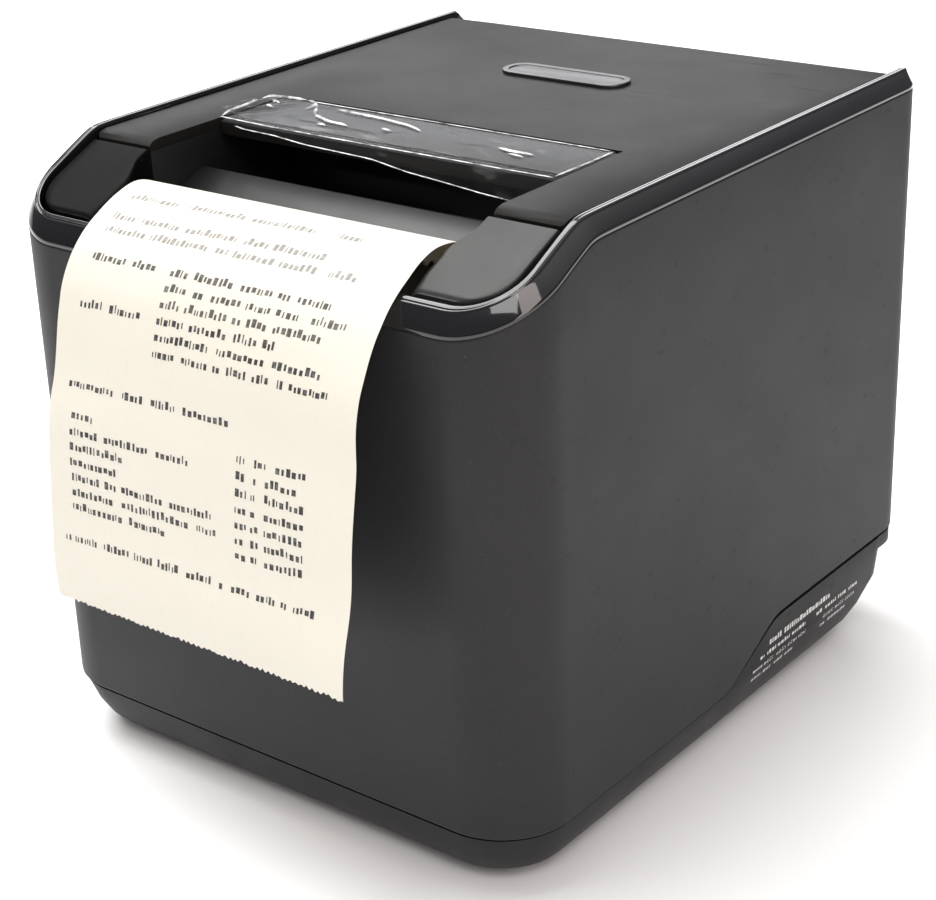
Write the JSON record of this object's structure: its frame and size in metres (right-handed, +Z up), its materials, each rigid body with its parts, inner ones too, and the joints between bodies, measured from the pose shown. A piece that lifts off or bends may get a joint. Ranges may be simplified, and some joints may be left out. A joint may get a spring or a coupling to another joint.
{
  "type": "receipt printer",
  "caption": "Countertop thermal receipt printer with hinged top cover, cover release flap, front keys, paper roll, print head, platen and cutter, with a printed strip hanging over the front.",
  "frame": {"origin": "bottom centre of the whole box, hanging strip included, on the surface the feet stand on", "axes": "+Z up; -Y towards the front, where the paper comes out; +X towards the right as the front is faced, along the width"},
  "size_m": [0.13, 0.1722, 0.1326],
  "materials": {
    "alloy": "extruded aluminium",
    "badge_metal": "satin silver",
    "base_plastic": "matte black moulding",
    "black_plastic": "black plastic",
    "board_green": "solder mask",
    "brass": "brass",
    "case_plastic": "fine-grained satin charcoal moulding",
    "ceramic_white": "glazed ceramic",
    "core_card": "plain card",
    "flex_film": "flat flexible cable",
    "key_plastic": "satin grey",
    "lid_plastic": "satin dark warm grey",
    "motor_black": "black enamel",
    "nylon": "natural nylon",
    "paper_white": "smooth thermal paper",
    "rim_gloss": "piano black gloss",
    "rubber_black": "black rubber",
    "scoop_plastic": "matte black",
    "steel": "plain steel",
    "zinc_steel": "zinc-plated sheet"
  },
  "bodies": {
    "case": {"base_tray": "base_plastic", "rubber_feet": "rubber_black", "case_screws": "zinc_steel", "main_board": "board_green", "board_components": "black_plastic", "power_inlet": "black_plastic", "usb_port": "steel", "serial_port": "steel", "drawer_port": "black_plastic", "upper_case": "case_plastic", "top_bezel": "rim_gloss", "hinge_brackets": "black_plastic", "hinge_pins": "steel", "latch_pins": "steel", "key_pins": "steel", "key_boards": "board_green", "front_chute": "scoop_plastic", "tear_bar": "steel", "roll_bucket": "base_plastic", "near_end_sensor": "black_plastic", "paper_web": "paper_white", "receipt_strip": "paper_white", "mech_chassis": "zinc_steel", "head_pivot": "steel", "head_springs": "steel", "head_cable": "flex_film", "idler_pin": "steel", "feed_motor": "motor_black", "cutter_housing": "zinc_steel", "cutter_motor": "steel", "cover_switch": "black_plastic"},
    "cover": {"lid": "lid_plastic", "lid_scoop": "scoop_plastic", "scoop_cheeks": "scoop_plastic", "top_badge": "badge_metal", "platen_bushes": "brass", "fixed_blade": "steel", "flap_spring": "steel"},
    "flap": {"release_flap": "scoop_plastic", "flap_pin": "steel"},
    "latch": {"latch_hooks": "zinc_steel", "latch_shaft": "steel"},
    "platen": {"platen_roller": "rubber_black", "platen_shaft": "steel", "platen_gear": "nylon"},
    "roll": {"paper_roll": "paper_white", "paper_core": "core_card"},
    "head": {"print_head": "ceramic_white", "head_heatsink": "alloy"},
    "idler": {"idler_gear": "nylon"},
    "motor_rotor": {"motor_shaft": "steel", "motor_pinion": "brass"},
    "blade": {"cutter_blade": "steel"},
    "cutter_drive": {"cutter_pinion": "brass", "cutter_shaft": "steel"},
    "feed_button": {"feed_key": "key_plastic"},
    "power_button": {"power_key": "key_plastic"}
  },
  "joints": [
    {"name": "cover_open", "type": "hinge", "parent": "case", "child": "cover", "pos_m": [0, 0.07673, 0.1244], "axis": [-1, 0, 0], "range_deg": [0, 92]},
    {"name": "flap_lift", "type": "hinge", "parent": "cover", "child": "flap", "pos_m": [0, -0.00428, 0.1284], "axis": [-1, 0, 0], "range_deg": [0, 20], "stiffness_Nm_per_rad": 0.02, "springref_deg": -14.32},
    {"name": "latch_turn", "type": "hinge", "parent": "cover", "child": "latch", "pos_m": [0, -0.01087, 0.106], "axis": [-1, 0, 0], "range_deg": [0, 10.5]},
    {"name": "feed_key_press", "type": "hinge", "parent": "case", "child": "feed_button", "pos_m": [0.052, -0.04568, 0.1232], "axis": [1, 0, 0], "range_deg": [0, 2], "stiffness_Nm_per_rad": 0.8, "springref_deg": -2.29},
    {"name": "power_key_press", "type": "hinge", "parent": "case", "child": "power_button", "pos_m": [-0.052, -0.04568, 0.1232], "axis": [1, 0, 0], "range_deg": [0, 2], "stiffness_Nm_per_rad": 0.8, "springref_deg": -2.29},
    {"name": "roll_spin", "type": "hinge", "parent": "case", "child": "roll", "pos_m": [0, 0.03712, 0.06], "axis": [1, 0, 0], "continuous": true},
    {"name": "platen_spin", "type": "hinge", "parent": "cover", "child": "platen", "pos_m": [0, -0.02687, 0.104], "axis": [1, 0, 0], "continuous": true},
    {"name": "idler_spin", "type": "hinge", "parent": "case", "child": "idler", "pos_m": [0.0528, -0.03553, 0.08669], "axis": [1, 0, 0], "continuous": true},
    {"name": "motor_spin", "type": "hinge", "parent": "case", "child": "motor_rotor", "pos_m": [0.04, -0.04275, 0.07225], "axis": [1, 0, 0], "continuous": true},
    {"name": "head_tilt", "type": "hinge", "parent": "case", "child": "head", "pos_m": [0, -0.03351, 0.09362], "axis": [1, 0, 0], "range_deg": [0, 2], "stiffness_Nm_per_rad": 2, "springref_deg": -1.72},
    {"name": "cutter_stroke", "type": "slide", "parent": "case", "child": "blade", "axis": [0, 0.9063, 0.4226], "range_m": [0, 0.009]},
    {"name": "cutter_turn", "type": "hinge", "parent": "case", "child": "cutter_drive", "pos_m": [-0.033, -0.04826, 0.09828], "axis": [-1, 0, 0], "range_deg": [0, 60]}
  ],
  "couplings": [
    {"joint": "platen_spin", "follows": "roll_spin", "ratio": -6.3333},
    {"joint": "idler_spin", "follows": "roll_spin", "ratio": 4.5238},
    {"joint": "motor_spin", "follows": "roll_spin", "ratio": -10.556},
    {"joint": "latch_turn", "follows": "flap_lift", "ratio": 0.5},
    {"joint": "cutter_turn", "follows": "cutter_stroke", "rad_per_m": 113.64}
  ]
}
